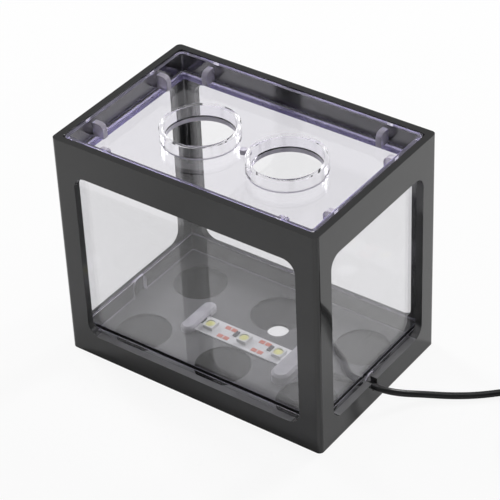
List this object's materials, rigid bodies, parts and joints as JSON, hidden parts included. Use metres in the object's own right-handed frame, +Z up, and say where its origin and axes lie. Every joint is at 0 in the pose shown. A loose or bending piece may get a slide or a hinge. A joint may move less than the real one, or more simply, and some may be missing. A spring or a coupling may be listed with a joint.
{
  "type": "desktop aquarium",
  "caption": "Small desktop fish tank: open black frame, lift-out clear tank, clear tray lid with round collars, light strip in the dry base and a USB lead.",
  "frame": {"origin": "middle of the frame's flat underside", "axes": "+Z up, +X along the long front to the lead's side, the front faces -Y"},
  "size_m": [0.2472, 0.1059, 0.1],
  "materials": {
    "board_white": "matte",
    "clear_lid": "clear moulded plastic",
    "clear_tank": "clear moulded plastic",
    "clip_clear": "translucent soft plastic",
    "copper": "tinned copper",
    "frame_black": "glossy moulded",
    "gold": "bright",
    "lead_black": "satin",
    "led_phosphor": "gel",
    "led_white": "semi-gloss",
    "plug_black": "satin",
    "plug_steel": "bright",
    "resistor_black": "matte",
    "tie_black": "matte",
    "tongue_white": "matte"
  },
  "bodies": {
    "frame": {"clip_left": "clip_clear", "clip_right": "clip_clear", "copper_pads_1": "copper", "copper_pads_2": "copper", "frame_back": "frame_black", "frame_floor": "frame_black", "frame_front": "frame_black", "frame_left": "frame_black", "frame_right": "frame_black", "lead_bay": "lead_black", "lead_coil": "lead_black", "lead_run": "lead_black", "lead_tie": "tie_black", "led_body_1": "led_white", "led_body_2": "led_white", "led_body_3": "led_white", "led_window_1": "led_phosphor", "led_window_2": "led_phosphor", "led_window_3": "led_phosphor", "plug_contacts": "gold", "plug_grip": "plug_black", "plug_shell": "plug_steel", "plug_sleeve": "plug_black", "plug_tongue": "tongue_white", "resistor_1": "resistor_black", "resistor_2": "resistor_black", "resistor_3": "resistor_black", "strip_board": "board_white"},
    "tank": {"tank": "clear_tank"},
    "lid": {"lid": "clear_lid"}
  },
  "joints": [
    {"name": "tank_lift", "type": "slide", "parent": "frame", "child": "tank", "axis": [0, 0, 1], "range_m": [0, 0.11]},
    {"name": "lid_lift", "type": "slide", "parent": "tank", "child": "lid", "axis": [0, 0, 1], "range_m": [0, 0.06]}
  ]
}
